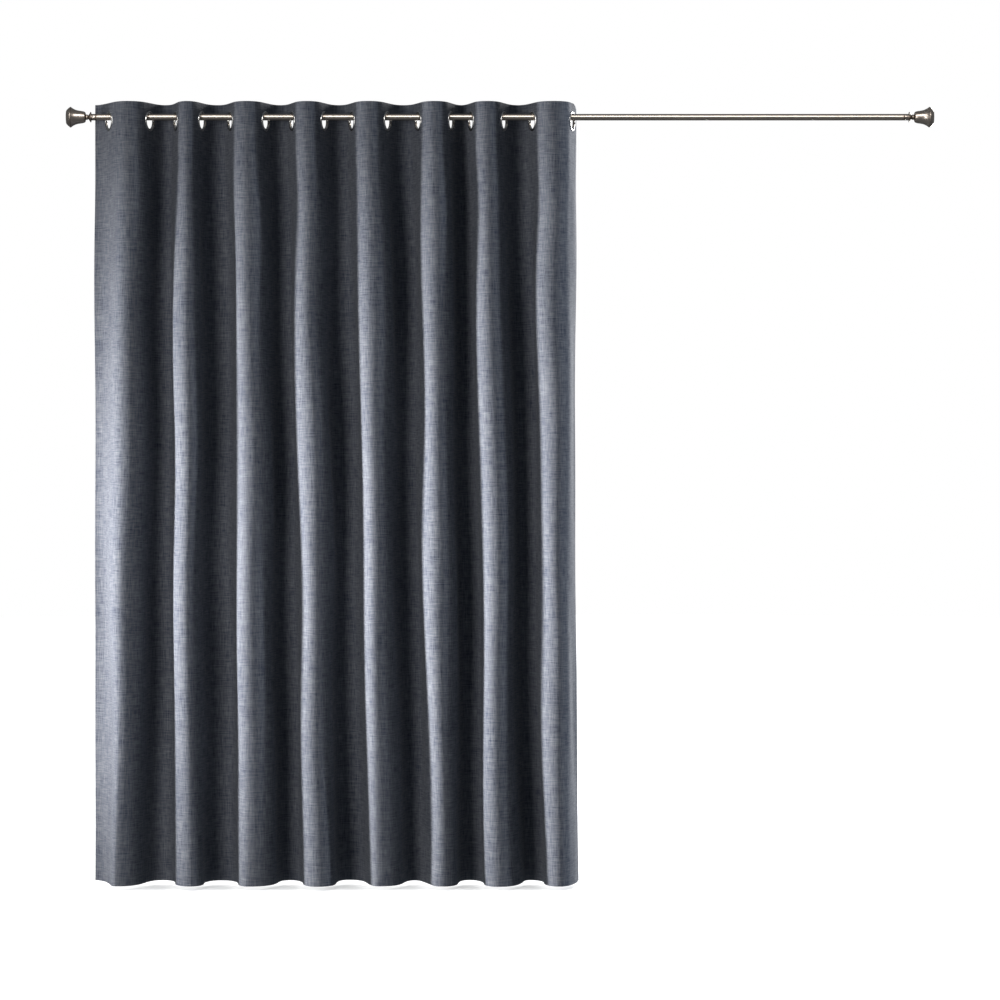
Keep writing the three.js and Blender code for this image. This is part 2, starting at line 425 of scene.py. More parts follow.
class HungCloth:
    """The hung cloth's mid-surface points, room-side normals and flat widths, on one grid"""

    def __init__(self, settings):
        self.heights = cloth_heights(settings.hem)
        self.seams = [HALF_FOLD_STEPS * (2 * i + 1) for i in range(len(GROMMET_X))]
        rows = [self.row(z, settings.flare) for z in self.heights]
        self.points = np.array(rows)
        steps = np.linalg.norm(np.diff(self.points[0], axis=0), axis=1)
        self.arc = np.concatenate([[0], np.cumsum(steps)])
        self.droop_corner()
        dents = soft_dents(self.arc, self.heights, settings.crumple)
        self.points += grid_normals(self.points) * dents[:, :, None]
        self.normals = grid_normals(self.points)

    @staticmethod
    def row(z, flare):
        """All half folds at one height, joined from left to right."""
        line = []
        for index in range(len(GROMMET_X)):
            line.append(half_fold(z, index, index - 1, -1, flare)[::-1][:-1])
            line.append(half_fold(z, index, index, 1, flare)[:-1])
        line.append(half_fold(z, index, index, 1, flare)[-1:])
        line = np.vstack(line)
        return np.column_stack([line, np.full(len(line), z)])

    def droop_corner(self):
        """The free top corner on the right hangs a little from the last grommet."""
        last = self.seams[-1]
        share = smooth_step(DROOP_START, 1, np.linspace(0, 1, HALF_FOLD_STEPS + 1))
        fade = 1 - smooth_step(0, DROOP_HEIGHT, TOP_Z - self.heights)
        self.points[:, last:, 2] -= CORNER_DROOP * fade[:, None] * share[None, :]


def to_hole_edges(cloth, columns):
    """The grid's points, with those in a grommet's hole moved out to its edge, and which moved."""
    inside = np.zeros(cloth.points.shape[:2], bool)
    points = cloth.points.copy()
    for index, seam in enumerate(cloth.seams):
        centre = np.array([GROMMET_X[index], 0, GROMMET_Z])
        for column in columns:
            if abs(column - seam) > HALF_FOLD_STEPS:
                continue
            away = points[:, column] - centre
            distance = np.linalg.norm(away, axis=1)
            within = distance < HOLE_RADIUS - 1e-6
            inside[within, column] = True
            stuck = within & (distance < ON_AXIS)
            away[stuck] = (0, 0, 1)
            distance[stuck] = 1
            outwards = away[within] * (HOLE_RADIUS / distance[within])[:, None]
            points[within, column] = centre + outwards
    return points, inside


def around(grid):
    """The four corners of each of a grid's squares, in order."""
    return [grid[:-1, :-1], grid[:-1, 1:], grid[1:, 1:], grid[1:, :-1]]


def cloth_slab(name, cloth, rows, columns, front, back, material):
    """A closed sheet between two depths from the cloth's mid-surface, with the grommets' holes.

    front and back are in metres towards the room, one number for each grid point or for all.
    """
    moved, inside = to_hole_edges(cloth, columns)
    grid = np.ix_(rows, columns)
    points = moved[grid]
    normals = cloth.normals[grid]
    hole = inside[grid]
    shape = hole.shape
    front = np.broadcast_to(front, cloth.points.shape[:2])[grid]
    back = np.broadcast_to(back, cloth.points.shape[:2])[grid]
    room_side = points + normals * front[:, :, None]
    wall_side = points + normals * back[:, :, None]
    count = shape[0] * shape[1]
    number = np.arange(count).reshape(shape)
    kept = ~np.logical_and.reduce(around(hole))
    quads = np.stack(around(number), axis=2)[kept]
    a, b, c = (room_side.reshape(-1, 3)[quads[:, i]] for i in range(3))
    towards = np.einsum("ij,ij->i", np.cross(b - a, c - b), normals.reshape(-1, 3)[quads[:, 0]])
    if towards.sum() < 0:
        quads = quads[:, ::-1]
    edges = {(quad[i], quad[(i + 1) % 4]): None for quad in quads for i in range(4)}
    rims = [(i, k) for i, k in edges if (k, i) not in edges]
    faces = [list(q) for q in quads]
    faces += [[v + count for v in q[::-1]] for q in quads]
    faces += [[k, i, i + count, k + count] for i, k in rims]
    used = np.unique([v for f in faces for v in f])
    renumbered = np.full(2 * count, -1)
    renumbered[used] = np.arange(len(used))
    faces = [[int(renumbered[v]) for v in f] for f in faces]
    all_points = np.concatenate([room_side.reshape(-1, 3), wall_side.reshape(-1, 3)])[used]
    all_normals = np.concatenate([normals.reshape(-1, 3), -normals.reshape(-1, 3)])[used]
    u, v = np.meshgrid(cloth.arc[columns], cloth.heights[rows] - HEM_Z)
    flat = np.tile(np.column_stack([u.ravel(), v.ravel()]), (2, 1))[used]
    piece = add_mesh(name, all_points, faces, material)
    finish_cloth(piece, flat, all_normals, 2 * len(quads))
    return piece


def finish_cloth(piece, flat, normals, sheet_faces):
    """Gives a sheet its flat coordinates in metres and smooth normals. Cut edges keep their own."""
    data = piece.data
    corners = np.zeros(len(data.loops), np.int32)
    data.loops.foreach_get("vertex_index", corners)
    layer = data.uv_layers.new(name="cloth_uv")
    layer.data.foreach_set("uv", flat[corners].astype(np.float32).ravel())
    loop_normals = normals[corners]
    for polygon in data.polygons[sheet_faces:]:
        for loop in polygon.loop_indices:
            loop_normals[loop] = polygon.normal
    data.normals_split_custom_set([tuple(n) for n in loop_normals])


def cloth_cuts(cloth):
    """Each piece's (name, first column, last column, bodies it follows, strips it stands for)."""
    ends = [0, *cloth.seams, len(cloth.arc) - 1]
    cuts = []
    for i, (first, last) in enumerate(zip(ends, ends[1:])):
        beside = slice(max(i - 1, 0), i + 1)
        cuts.append((f"{i:02d}", first, last, PANELS[beside], NUMBERS[beside]))
    return cuts


def hang_with(piece, bodies):
    """The piece follows its one body. A piece between two bodies is only baked where it hangs and
    follows neither.
    """
    if len(bodies) == 1:
        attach(piece, bodies[0])
        return

    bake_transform(piece)


def in_hems(cloth, settings, back_of_cloth):
    """How deep the back of the cloth is at each grid point, with the turned hems behind it."""
    depth = np.full(cloth.points.shape[:2], back_of_cloth)
    behind = back_of_cloth - settings.thickness
    depth[cloth.heights < HEM_Z + settings.hem, :] = behind
    edge = settings.side_hem
    depth[:, (cloth.arc < edge) | (cloth.arc > cloth.arc[-1] - edge)] = behind
    return depth


# Stitches, repeated along a line of points by geometry nodes


def stitch_tree():
    """Small rounded stitches along a line. Their length, gap and width are inputs."""
    tree = bpy.data.node_groups.new("stitches_along_line", "GeometryNodeTree")
    sizes = [(name, "Float") for name in ("Stitch Length", "Gap", "Thread Width")]
    for name, kind in (("Line", "Geometry"), *sizes, ("Thread", "Material")):
        tree.interface.new_socket(name, in_out="INPUT", socket_type=f"NodeSocket{kind}")
    tree.interface.new_socket("Stitches", in_out="OUTPUT", socket_type="NodeSocketGeometry")
    kinds = (
        "NodeGroupInput", "NodeGroupOutput", "GeometryNodeMeshToCurve", "ShaderNodeMath",
        "GeometryNodeResampleCurve", "GeometryNodeInputTangent",
        "FunctionNodeAlignRotationToVector", "GeometryNodeMeshUVSphere", "ShaderNodeCombineXYZ",
        "GeometryNodeTransform", "GeometryNodeTransform", "GeometryNodeInstanceOnPoints",
        "GeometryNodeRealizeInstances", "GeometryNodeSetMaterial",
    )
    inputs, outputs, to_curve, pitch, resample, tangent, align, stitch, *rest = (
        tree.nodes.new(kind) for kind in kinds
    )
    size, upright, turn, scatter, realize, paint = rest
    pitch.operation = "ADD"
    resample.mode = "LENGTH"
    align.axis = "X"
    for name, value in (("Segments", 6), ("Rings", 4), ("Radius", 0.5)):
        stitch.inputs[name].default_value = value
    upright.inputs["Rotation"].default_value = (0, math.pi / 2, 0)
    wires = (
        (inputs, "Line", to_curve, "Mesh"),
        (to_curve, "Curve", resample, "Curve"),
        (inputs, "Stitch Length", pitch, 0),
        (inputs, "Gap", pitch, 1),
        (pitch, 0, resample, "Length"),
        (resample, "Curve", scatter, "Points"),
        (tangent, "Tangent", align, "Vector"),
        (align, "Rotation", scatter, "Rotation"),
        (inputs, "Stitch Length", size, "X"),
        (inputs, "Thread Width", size, "Y"),
        (inputs, "Thread Width", size, "Z"),
        (stitch, "Mesh", upright, "Geometry"),
        (upright, "Geometry", turn, "Geometry"),
        (size, "Vector", turn, "Scale"),
        (turn, "Geometry", scatter, "Instance"),
        (scatter, "Instances", realize, "Geometry"),
        (realize, "Geometry", paint, "Geometry"),
        (inputs, "Thread", paint, "Material"),
        (paint, "Geometry", outputs, "Stitches"),
    )
    for source, leaving, target, entering in wires:
        tree.links.new(source.outputs[leaving], target.inputs[entering])
    return tree


def sewn(name, lines, tree, values):
    """One mesh of stitches along all lines, each a list of points."""
    points = [p for line in lines for p in line]
    edges = []
    first = 0
    for line in lines:
        edges += [(first + i, first + i + 1) for i in range(len(line) - 1)]
        first += len(line)
    data = bpy.data.meshes.new(name)
    data.from_pydata([tuple(p) for p in points], edges, [])
    piece = add_object(name, data)
    modifier = piece.modifiers.new("stitches", "NODES")
    modifier.node_group = tree
    for socket in tree.interface.items_tree:
        if socket.in_out == "INPUT" and socket.name in values:
            modifier[socket.identifier] = values[socket.name]
    return baked(piece)


def baked(piece):
    """The piece's evaluated shape as its plain mesh, without modifiers."""
    bpy.context.view_layer.update()
    shown = piece.evaluated_get(bpy.context.evaluated_depsgraph_get())
    data = bpy.data.meshes.new_from_object(shown)
    piece.modifiers.clear()
    piece.data = data
    data.name = piece.name
    return piece


# Materials


class Recipe:
    """A node material being put together"""

    def __init__(self, name):
        self.material = bpy.data.materials.new(name)
        self.material.use_nodes = True
        self.nodes = self.material.node_tree.nodes
        self.links = self.material.node_tree.links
        self.shader = self.nodes["Principled BSDF"]

    def node(self, kind, **values):
        node = self.nodes.new(kind)
        for key, value in values.items():
            if key in node.inputs:
                node.inputs[key].default_value = value
            else:
                setattr(node, key, value)
        return node

    def link(self, source, target):
        self.links.new(source, target)

    def math(self, operation, *values):
        node = self.node("ShaderNodeMath", operation=operation)
        for socket, value in zip(node.inputs, values):
            if isinstance(value, (int, float)):
                socket.default_value = value
            else:
                self.link(value, socket)
        return node.outputs[0]

    def streaks(self, coordinates, scale, detail=2.0, roughness=0.5, seed=0.0):
        """Noise stretched by a scale for each direction, in repeats a metre."""
        mapping = self.node("ShaderNodeMapping")
        mapping.inputs["Scale"].default_value = scale
        mapping.inputs["Location"].default_value = (seed, seed * 1.7, seed * 0.6)
        self.link(coordinates, mapping.inputs["Vector"])
        noise = self.node("ShaderNodeTexNoise", Scale=1.0, Detail=detail, Roughness=roughness)
        self.link(mapping.outputs["Vector"], noise.inputs["Vector"])
        return noise.outputs["Fac"]

    def ramp(self, value, stops):
        node = self.node("ShaderNodeValToRGB")
        node.color_ramp.elements[0].position = stops[0][0]
        node.color_ramp.elements[0].color = (*stops[0][1], 1)
        node.color_ramp.elements[1].position = stops[-1][0]
        node.color_ramp.elements[1].color = (*stops[-1][1], 1)
        for position, color in stops[1:-1]:
            node.color_ramp.elements.new(position).color = (*color, 1)
        self.link(value, node.inputs["Fac"])
        return node.outputs["Color"]

    def bump(self, height, distance, strength):
        node = self.node("ShaderNodeBump", Strength=strength, Distance=distance)
        self.link(height, node.inputs["Height"])
        self.link(node.outputs["Normal"], self.shader.inputs["Normal"])

    def plus(self, value, share, base):
        """base + value * share, where value and base may be sockets."""
        return self.math("ADD", self.math("MULTIPLY", value, share), base)

    def varied(self, base, noise, share):
        """base + (noise - 0.5) * share."""
        return self.plus(self.math("SUBTRACT", noise, 0.5), share, base)

    def place(self):
        return self.node("ShaderNodeTexCoord").outputs["Object"]

    def flat(self):
        """Where a point is on the flat cloth, in metres."""
        return self.node("ShaderNodeUVMap", uv_map="cloth_uv").outputs["UV"]

    def finish(self, color, roughness=None):
        self.link(color, self.shader.inputs["Base Color"])
        if roughness is not None:
            self.link(roughness, self.shader.inputs["Roughness"])

    def set(self, **values):
        """Values on the shader's own sockets. An underscore stands for a space."""
        for key, value in values.items():
            self.shader.inputs[key.replace("_", " ")].default_value = value


def between(low, high, share):
    return tuple(a + (b - a) * share for a, b in zip(low, high))


def slub_cloth(settings):
    """Uneven yarns both ways, paler where they are thick, as in a slub linen."""
    recipe = Recipe("slate_slub_cloth")
    flat = recipe.flat()
    weft = recipe.streaks(flat, (30, 310, 1), seed=3.1)
    warp = recipe.streaks(flat, (310, 26, 1), seed=8.4)
    fine_weft = recipe.streaks(flat, (110, 900, 1), seed=1.3)
    fine_warp = recipe.streaks(flat, (900, 110, 1), seed=5.9)
    cloud = recipe.streaks(flat, (9, 7, 1), seed=2.2)
    slubs = recipe.math("ADD", weft, warp)
    threads = recipe.math("ADD", fine_weft, fine_warp)
    mix = recipe.plus(slubs, 0.38, recipe.math("MULTIPLY", threads, 0.10))
    mix = recipe.varied(mix, cloud, 0.10)
    deep, pale = tuple(settings.deep), tuple(settings.pale)
    stops = ((0.34, 0.0), (0.45, 0.36), (0.53, 0.60), (0.65, 1.0))
    color = recipe.ramp(mix, [(at, between(deep, pale, share)) for at, share in stops])
    recipe.finish(color, recipe.plus(mix, -0.2, 0.98))
    recipe.set(Sheen_Weight=0.12, Sheen_Roughness=0.45, Specular_IOR_Level=0.25)
    recipe.bump(mix, 0.0012, 0.5)
    return recipe.material


def lining_cloth(settings):
    """A close plain weave."""
    recipe = Recipe("dark_lining")
    flat = recipe.flat()
    weft = recipe.streaks(flat, (160, 1500, 1), seed=4.0)
    warp = recipe.streaks(flat, (1500, 160, 1), seed=6.5)
    shade = recipe.math("MULTIPLY", recipe.math("ADD", weft, warp), 0.5)
    tone = tuple(settings.lining)
    dark, light = between((0, 0, 0), tone, 0.6), between(tone, (1, 1, 1), 0.03)
    color = recipe.ramp(shade, [(0.35, dark), (0.65, light)])
    recipe.finish(color, recipe.plus(shade, 0.2, 0.72))
    recipe.set(Sheen_Weight=0.1, Sheen_Roughness=0.4, Specular_IOR_Level=0.3)
    recipe.bump(shade, 0.0004, 0.4)
    return recipe.material


def sewing_thread(settings):
    """Twisted thread, a little paler than the cloth."""
    recipe = Recipe("slate_thread")
    place = recipe.place()
    twist = recipe.streaks(place, (1800, 1800, 1800), detail=1.0)
    deep, pale = tuple(settings.deep), tuple(settings.pale)
    dark, light = between(deep, pale, 0.05), between(deep, pale, 0.45)
    recipe.finish(recipe.ramp(twist, [(0.35, dark), (0.65, light)]))
    recipe.set(Roughness=0.6, Sheen_Weight=0.2)
    recipe.bump(twist, 0.0003, 0.5)
    return recipe.material


def brushed_pewter(settings):
    """Warm brushed grey, darkened in its grooves, waists and edges by patina and by painted shade."""
    recipe = Recipe("brushed_pewter")
    place = recipe.place()
    brush = recipe.streaks(place, (2600, 70, 70), detail=3.0, seed=1.0)
    blotch = recipe.streaks(place, (16, 60, 60), detail=4.0, roughness=0.6, seed=7.0)
    # Patina and painted shade, read from the turned outlines
    groove = recipe.node("ShaderNodeAttribute", attribute_name="patina").outputs["Fac"]
    worn_and_shaded = recipe.varied(recipe.varied(groove, blotch, 0.5), brush, 0.12)
    bare, dark = tuple(settings.pewter), tuple(settings.patina)
    color = recipe.ramp(worn_and_shaded, [(0.0, bare), (0.35, between(bare, dark, 0.35)), (0.95, dark)])
    recipe.finish(color, recipe.plus(groove, 0.25, recipe.plus(brush, 0.12, 0.24)))
    recipe.set(Metallic=0.92, Anisotropic=0.35)
    recipe.bump(brush, 0.0001, 0.25)
    return recipe.material


def plated_metal(name, tone, rough):
    """Plated metal with faint smudges and hairlines."""
    recipe = Recipe(name)
    place = recipe.place()
    smudge = recipe.streaks(place, (70, 70, 70), detail=3.0, seed=2.0)
    hairline = recipe.streaks(place, (900, 900, 140), detail=2.0, seed=9.0)
    color = recipe.ramp(smudge, [(0.3, between((0, 0, 0), tone, 0.78)), (0.7, tone)])
    recipe.finish(color, recipe.plus(smudge, 0.16, rough))
    recipe.set(Metallic=1.0)
    recipe.bump(hairline, 0.00005, 0.2)
    return recipe.material


def pale_floor():
    """Matt white paper."""
    recipe = Recipe("pale_floor")
    place = recipe.place()
    grain = recipe.streaks(place, (60, 60, 60), detail=3.0)
    recipe.finish(recipe.ramp(grain, [(0.3, (0.86, 0.86, 0.86)), (0.7, (0.90, 0.90, 0.90))]))
    recipe.set(Roughness=0.9, Specular_IOR_Level=0.0)
    recipe.set(Emission_Color=(1, 1, 1, 1), Emission_Strength=0.36)
    return recipe.material


# Turned metal pieces


def on_grommet(index):
    """Stands a turned ring up in its grommet's place, its face towards the room."""
    turn = GROMMET_NORMALS[index].to_track_quat("Z", "Y").to_matrix().to_4x4()
    return Matrix.Translation((GROMMET_X[index], 0, GROMMET_Z)) @ turn


def in_millimetres(outline):
    return [(radius / 1000, height / 1000, patina) for radius, height, patina in outline]


def ring_face_outline():
    """The grommet's front ring with its rolled edge, and its barrel through the cloth."""
    rim = GROMMET_RADIUS * 1000
    dome = [
        (rim - 0.25, 1.02, 0.5), (rim, 1.45, 0.3), (rim - 0.25, 2.05, 0.0),
        (rim - 1.1, 2.95, 0.0), (rim - 2.3, 3.5, 0.0), (rim - 3.5, 3.58, 0.0),
        (rim - 4.9, 3.2, 0.0), (rim - 6.1, 2.4, 0.0), (rim - 6.75, 1.3, 0.1),
        (rim - 6.85, 0.2, 0.3), (rim - 6.85, -1.9, 0.4), (rim - 6.4, -2.7, 0.3),
        (rim - 5.9, -2.85, 0.3),
    ]
    seat = [(rim - 5.6, -2.6, 0.5), (rim - 5.6, 1.0, 0.5)]
    return in_millimetres(swept(dome, 4) + seat)


def ring_washer_outline():
    """The washer that holds the ring from behind."""
    outer = WASHER_RADIUS * 1000
    inner = GROMMET_RADIUS * 1000 - 5.25
    edge = [
        (inner, -2.75, 0.3), (inner + 1.2, -2.85, 0.1), (outer - 1.2, -2.7, 0.0),
        (outer - 0.3, -2.1, 0.0), (outer, -1.35, 0.3),
    ]
    return in_millimetres(swept(edge, 4) + [(outer - 0.2, -1.0, 0.5), (inner, -1.0, 0.5)])


def along_rod(x, side):
    """Local +Z points along the rod, outwards on the given side, from the plane at x."""
    return Matrix.Translation((x, 0, 0)) @ Matrix.Rotation(side * math.pi / 2, 4, "Y")


def cut_away(piece, cutter):
    """Cuts the cutter's shape out of the piece and removes the cutter."""
    modifier = piece.modifiers.new("cut", "BOOLEAN")
    modifier.object = cutter
    modifier.operation = "DIFFERENCE"
    modifier.solver = "EXACT"
    baked(piece)
    bpy.data.objects.remove(cutter)
    piece.data.polygons.foreach_set("use_smooth", [True] * len(piece.data.polygons))
    piece.data.set_sharp_from_angle(angle=SHARP_EDGE)
    return piece


# How far in from each end of the tube the patina and painted shade fade out
TUBE_END_PATINA_AND_SHADE = 0.004
CHAMFER = 0.0005
# Sections along the tube
TUBE_SECTIONS = 24
# How much wider a screw's hole is than its screw
HOLE_GAP = 0.0003


def tube_outline():
    """The whole tube, along the rod from its left end to its right end."""
    low, high = TUBE_LOW.x, TUBE_HIGH.x
    r = ROD_RADIUS
    shares = np.linspace(0, 1, TUBE_SECTIONS + 1)[1:-1]
    # The third numbers paint patina and painted shade at the tube's ends
    return [
        (0, low, 1), (r - CHAMFER, low, 1), (r, low + CHAMFER, 0.9), (r, low + TUBE_END_PATINA_AND_SHADE, 0),
        *[(r, low + (high - low) * share, 0) for share in shares],
        (r, high - TUBE_END_PATINA_AND_SHADE, 0), (r, high - CHAMFER, 0.9), (r - CHAMFER, high, 1), (0, high, 1),
    ]


def ferrule_outline(length):
    """The short end piece that shows past the tube, with a fine groove round it."""
    r = ROD_RADIUS
    # The third numbers paint patina and painted shade in the groove and at the cut ends
    return [
        (0, -length, 1), (r - CHAMFER, -length, 1), (r, -length + CHAMFER, 0.6),
        (r, -length + 0.002, 0), (r, -0.0026, 0.1), (r - 0.0003, -0.0022, 0.8),
        (r - 0.0003, -0.0018, 0.8), (r, -0.0014, 0.2), (r, -0.0006, 0.3),
        (r - 0.0006, 0, 0.9), (0, 0, 1),
    ]


def collar_outline(low, high, rim):
    """A thin disc that runs down to a narrow waist."""
    height = high - low
    # The third numbers paint patina and painted shade, darkest at the waist and at the rim's edges
    slope = [
        (rim, low + 0.0004, 0.6), (rim, low + 0.0012, 0.5), (rim - 0.0006, low + 0.0018, 0.5),
        (rim * 0.86, low + height * 0.32, 0.6), (rim * 0.66, low + height * 0.56, 0.7),
        (rim * 0.45, low + height * 0.82, 0.9), (rim * 0.34, high, 1.0),
    ]
    return [(0, low, 1), (rim - 0.0004, low, 0.6)] + swept(slope, 5) + [(0, high, 1)]


def bell_outline(low, high, lip):
    """A bead neck, a round shoulder, a long flare to the lip and a flat face with a sunk ring."""
    length = high - low
    # The third numbers paint patina and painted shade: dark at the neck's waist and under the lip,
    # light on the bead and the flare
    shape = [
        (0.20, 0.000, 1.0), (0.245, 0.020, 0.7), (0.27, 0.050, 0.3), (0.25, 0.082, 0.6),
        (0.215, 0.103, 1.0), (0.30, 0.110, 1.0), (0.42, 0.120, 0.7), (0.50, 0.145, 0.3),
        (0.535, 0.175, 0.1), (0.56, 0.210, 0.1), (0.585, 0.260, 0.1), (0.61, 0.330, 0.0),
        (0.63, 0.400, 0.0), (0.66, 0.475, 0.0), (0.70, 0.550, 0.0), (0.75, 0.610, 0.0),
        (0.81, 0.668, 0.0), (0.88, 0.722, 0.0), (0.94, 0.765, 0.1), (0.97, 0.780, 0.6),
        (0.965, 0.787, 0.9), (0.99, 0.797, 0.3), (1.00, 0.810, 0.0), (0.995, 0.826, 0.1),
        (0.965, 0.845, 0.3), (0.90, 0.885, 0.1), (0.82, 0.930, 0.1), (0.74, 0.968, 0.1),
        (0.66, 1.000, 0.0),
    ]
    sunk_ring = [(0.60, 1.0, 0.1), (0.585, 0.992, 0.9), (0.545, 0.992, 0.9), (0.53, 1.0, 0.1)]
    side, face = (
        [(r * lip, low + length * share, patina) for r, share, patina in points]
        for points in (shape, sunk_ring)
    )
    return [(0, low, 1)] + swept(side, 3) + face + [(0, high, 0)]


def screw_hole(box):
    """A round cutter a little wider than a set screw, along the screw's own direction."""
    low, high = box
    middle = (low + high) / 2
    size = high - low
    axis = 1 if size.y > size.z else 2
    outwards = Vector((0, 0, 0))
    outwards[axis] = math.copysign(1, middle[axis])
    radius = size.x / 2 + HOLE_GAP
    inner = abs(middle.dot(outwards)) - max(size.y, size.z) / 2 - CHAMFER
    outer = ROD_RADIUS * 1.5
    outline = [(0, inner, 1), (radius, inner, 1), (radius, outer, 1), (0, outer, 1)]
    turn = outwards.to_track_quat("Z", "X").to_matrix().to_4x4()
    place = Matrix.Translation((middle.x, 0, 0)) @ turn
    return turned("screw_hole_cutter", outline, 32, finish_of("plain_steel"), place)


# Operators


def settings_of(context):
    scene = context.scene
    return scene.curtain_cloth, scene.curtain_metal, scene.curtain_stage


def finish_of(name):
    """A material by its name, made the first time it is asked for."""
    if name not in bpy.data.materials:
        cloth, metal, _ = settings_of(bpy.context)
        recipes = {
            "slate_slub_cloth": lambda: slub_cloth(cloth),
            "dark_lining": lambda: lining_cloth(cloth),
            "slate_thread": lambda: sewing_thread(cloth),
            "brushed_pewter": lambda: brushed_pewter(metal),
            "satin_nickel": lambda: plated_metal(name, tuple(metal.nickel), 0.20),
            "plain_steel": lambda: plated_metal(name, (0.20, 0.19, 0.18), 0.34),
            "pale_floor": pale_floor,
        }
        recipes[name]()
    return bpy.data.materials[name]


HUNG = {}


def hung_cloth(settings):
    """The hung cloth for these settings, worked out once."""
    key = (settings.hem, settings.flare, settings.crumple)
    if key not in HUNG:
        HUNG[key] = HungCloth(settings)
    return HUNG[key]


def hang_sheet(piece, bodies):
    """Hangs a piece of cloth as hang_with does."""
    hang_with(piece, bodies)


class CURTAIN_OT_hang_cloth(bpy.types.Operator):
    """Hang the face cloth in seventeen pieces that meet at the grommets"""

    bl_idname = "curtain.hang_cloth"
    bl_label = "Hang Face Cloth"

    def execute(self, context):
        settings, _, _ = settings_of(context)
        cloth = hung_cloth(settings)
        rows = np.arange(len(cloth.heights))
        back = in_hems(cloth, settings, CLOTH_FRONT - settings.thickness)
        slub = finish_of("slate_slub_cloth")
        for name, first, last, bodies, numbers in cloth_cuts(cloth):
            columns = np.arange(first, last + 1)
            piece = cloth_slab(f"face_cloth_{name}", cloth, rows, columns, CLOTH_FRONT, back, slub)
            hang_sheet(piece, bodies)
            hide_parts(*[f"cloth_strip_{n}" for n in numbers])
        return {"FINISHED"}


# The rows between the top edge and the lining, and the share of the bottom hem that it leaves bare
LINING_FIRST_ROW = 3
LINING_END_SHARE = 0.3
LINING_GAP = 0.0003
# The lining steps back this far above the bottom hem
LINING_STEP = 0.012


class CURTAIN_OT_hang_lining(bpy.types.Operator):
    """Hang the lining behind the face cloth, a little shorter and narrower"""

    bl_idname = "curtain.hang_lining"
    bl_label = "Hang Lining"

    def execute(self, context):
        settings, _, _ = settings_of(context)
        cloth = hung_cloth(settings)
        under_ring = np.flatnonzero(cloth.heights < HEADER_END_Z)[0]
        lowest = np.flatnonzero(cloth.heights > HEM_Z + LINING_END_SHARE * settings.hem)[-1]
        header = range(LINING_FIRST_ROW, under_ring)
        rows = np.array([*header, *range(under_ring, lowest, 2), lowest])
        base = CLOTH_FRONT - settings.thickness - LINING_GAP
        front = in_hems(cloth, settings, base)
        hem_top = np.flatnonzero(cloth.heights < HEM_Z + settings.hem + LINING_STEP)[0]
        front[hem_top:, :] = base - settings.thickness
        back = front - settings.lining_thickness
        edge = settings.side_hem
        inside_hems = np.flatnonzero((cloth.arc > edge) & (cloth.arc < cloth.arc[-1] - edge))
        weave = finish_of("dark_lining")
        for name, first, last, bodies, numbers in cloth_cuts(cloth):
            columns = np.arange(max(first, inside_hems[0]), min(last, inside_hems[-1]) + 1)
            piece = cloth_slab(f"lining_{name}", cloth, rows, columns, front, back, weave)
            hang_sheet(piece, bodies)
        return {"FINISHED"}


THREAD_WIDTH = 0.0007
# The gap between two stitches, as a share of a stitch
STITCH_GAP = 0.3
# How far a stitch stands out of the cloth, as a share of the thread's width
STITCH_RISE = 0.1
# How far the bottom seam is below the hem's top, and how far in the side seams are, in side hems
BOTTOM_SEAM = 0.002
SIDE_SEAM = 0.9


class CURTAIN_OT_sew_hems(bpy.types.Operator):
    """Sew the bottom hem and the two side hems with small stitches"""

    bl_idname = "curtain.sew_hems"
    bl_label = "Sew Hems"

    def execute(self, context):
        settings, _, _ = settings_of(context)
        cloth = hung_cloth(settings)
        tree = stitch_tree()
        values = {
            "Stitch Length": settings.stitch,
            "Gap": settings.stitch * STITCH_GAP,
            "Thread Width": THREAD_WIDTH,
            "Thread": finish_of("slate_thread"),
        }
        on_face = cloth.points + cloth.normals * (CLOTH_FRONT + THREAD_WIDTH * STITCH_RISE)
        hem_row = np.flatnonzero(cloth.heights < HEM_Z + settings.hem - BOTTOM_SEAM)[0]
        side_columns = [
            np.abs(cloth.arc - settings.side_hem * SIDE_SEAM).argmin(),
            np.abs(cloth.arc - cloth.arc[-1] + settings.side_hem * SIDE_SEAM).argmin(),
        ]
        for name, first, last, bodies, _ in cloth_cuts(cloth):
            lines = [on_face[hem_row, first:last + 1]]
            lines += [on_face[:, column] for column in side_columns if first <= column <= last]
            piece = sewn(f"hem_stitches_{name}", lines, tree, values)
            hang_with(piece, bodies)
        return {"FINISHED"}


def fit_metal(piece, body, node):
    """Puts a metal piece on its body in place of its CAD node, under the strip over the rod."""
    metal_pieces().objects.link(piece)
    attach(piece, body)
    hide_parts(node)


class CURTAIN_OT_fit_grommets(bpy.types.Operator):
    """Fit the turned rings and washers of the sixteen grommets"""

    bl_idname = "curtain.fit_grommets"
    bl_label = "Fit Grommets"

    def execute(self, context):
        _, metal, _ = settings_of(context)
        nickel = finish_of("satin_nickel")
        outlines = (("face", ring_face_outline()), ("washer", ring_washer_outline()))
        for index, (panel, number) in enumerate(zip(PANELS, NUMBERS)):
            place = on_grommet(index)
            for part, outline in outlines:
                name = f"grommet_ring_{part}_{number}"
                ring = turned(name, outline, metal.facets, nickel, place)
                fit_metal(ring, panel, f"grommet_{part}_{number}")
        return {"FINISHED"}


ENDS = (("left", -1), ("right", 1))
FERRULE_GAP = 0.0003


